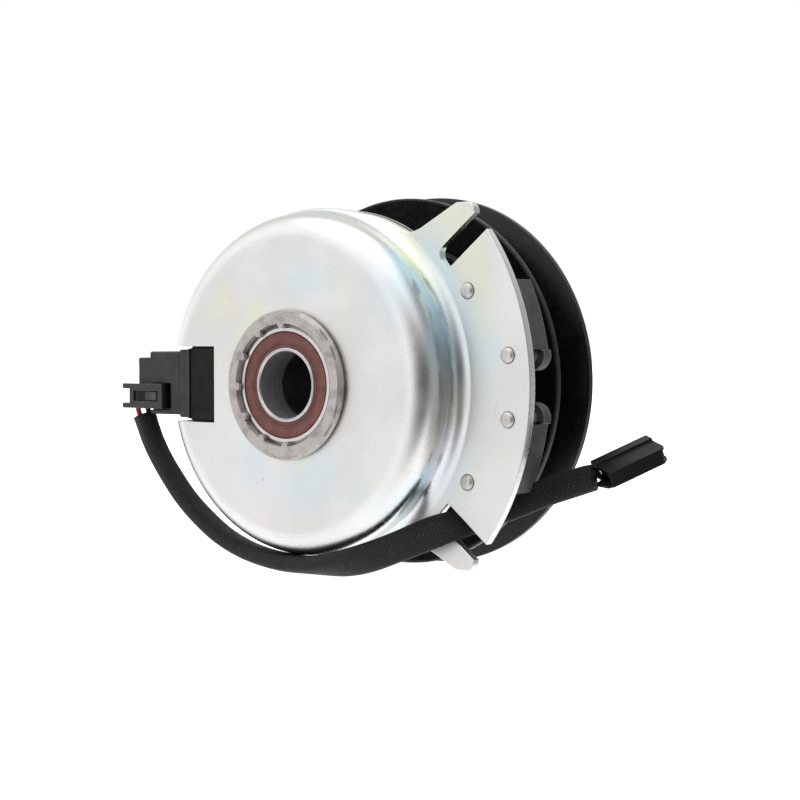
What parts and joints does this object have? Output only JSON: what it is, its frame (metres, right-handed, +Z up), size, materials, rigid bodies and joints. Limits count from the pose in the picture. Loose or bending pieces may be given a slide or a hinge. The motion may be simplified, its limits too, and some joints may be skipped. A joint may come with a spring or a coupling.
{
  "type": "electromagnetic clutch",
  "caption": "Electromagnetic clutch with brake: plated field cup with flange on a bearing, rotor, sprung armature, belt pulley and short harness.",
  "frame": {"origin": "on the shaft axis, in the front face of the field bearing", "axes": "-Y along the shaft towards the engine, +Y towards the belt pulley, +X towards the anti-rotation flange, +Z up, plug at -X"},
  "size_m": [0.2396, 0.1128, 0.1698],
  "materials": {
    "zinc_plate": "satin",
    "hub_steel": "satin",
    "bearing_steel": "gloss",
    "seal_rubber": "satin",
    "black_seal": "satin",
    "bobbin_plastic": "matte",
    "copper": "gloss",
    "socket_plastic": "satin",
    "plug_plastic": "satin",
    "terminal_metal": "gloss",
    "red_wire": "gloss",
    "black_wire": "gloss",
    "braided_sleeve": "satin",
    "brake_steel": "satin",
    "shim_steel": "satin",
    "rivet_steel": "satin",
    "rotor_steel": "satin",
    "armature_steel": "satin",
    "spring_steel": "gloss",
    "black_oxide": "satin",
    "pulley_paint": "gloss",
    "cage_polymer": "matte"
  },
  "bodies": {
    "field": {"field_shell": "zinc_plate", "inner_pole_hub": "hub_steel", "field_bearing_outer_race": "bearing_steel", "field_bearing_seals": "seal_rubber", "coil_bobbin": "bobbin_plastic", "coil_winding": "copper", "coil_potting": "bobbin_plastic", "field_socket": "socket_plastic", "socket_terminals": "terminal_metal", "harness_plug": "plug_plastic", "wire_red": "red_wire", "wire_black": "black_wire", "harness_sleeve": "braided_sleeve", "end_connector": "plug_plastic", "end_connector_terminals": "terminal_metal", "brake_pole_upper": "brake_steel", "brake_pole_lower": "brake_steel", "brake_shims": "shim_steel", "brake_rivets": "rivet_steel"},
    "plug_latch": {"plug_latch": "plug_plastic"},
    "rotor": {"rotor_hub": "rotor_steel", "rotor_disc": "rotor_steel", "field_bearing_inner_race": "bearing_steel", "pulley_bearing_inner_race": "bearing_steel", "hub_snap_ring": "black_oxide"},
    "field_bearing_cage": {"field_bearing_balls": "bearing_steel", "field_bearing_cage": "cage_polymer"},
    "pulley_bearing_cage": {"pulley_bearing_balls": "bearing_steel", "pulley_bearing_cage": "cage_polymer"},
    "pulley": {"pulley_hub": "pulley_paint", "pulley_web": "pulley_paint", "pulley_drum": "pulley_paint", "pulley_front_half": "pulley_paint", "pulley_rear_half": "pulley_paint", "spring_carrier": "black_oxide", "leaf_springs": "spring_steel", "spring_rivets": "rivet_steel", "pulley_bearing_outer_race": "bearing_steel", "pulley_bearing_seals": "black_seal", "bearing_snap_ring": "black_oxide"},
    "armature": {"armature_plate": "armature_steel", "armature_rivets": "rivet_steel"}
  },
  "joints": [
    {"name": "rotor_spin", "type": "hinge", "parent": "field", "child": "rotor", "pos_m": [0, 0.05, 0], "axis": [0, 1, 0], "continuous": true},
    {"name": "pulley_spin", "type": "hinge", "parent": "rotor", "child": "pulley", "pos_m": [0, 0.0955, 0], "axis": [0, 1, 0], "continuous": true},
    {"name": "armature_slide", "type": "slide", "parent": "pulley", "child": "armature", "axis": [0, -1, 0], "range_m": [0, 0.00045], "stiffness_N_per_m": 20000, "springref_m": -0.0005},
    {"name": "field_cage_spin", "type": "hinge", "parent": "field", "child": "field_bearing_cage", "pos_m": [0, 0.0075, 0], "axis": [0, 1, 0], "continuous": true},
    {"name": "pulley_cage_spin", "type": "hinge", "parent": "rotor", "child": "pulley_bearing_cage", "pos_m": [0, 0.0955, 0], "axis": [0, 1, 0], "continuous": true},
    {"name": "plug_latch_press", "type": "hinge", "parent": "field", "child": "plug_latch", "pos_m": [-0.086, 0.0044, -0.0064], "axis": [0, 0, -1], "range_deg": [0, 4], "stiffness_Nm_per_rad": 0.002}
  ],
  "couplings": [
    {"joint": "field_cage_spin", "follows": "rotor_spin", "ratio": 0.4015},
    {"joint": "pulley_cage_spin", "follows": "pulley_spin", "ratio": 0.5735}
  ]
}
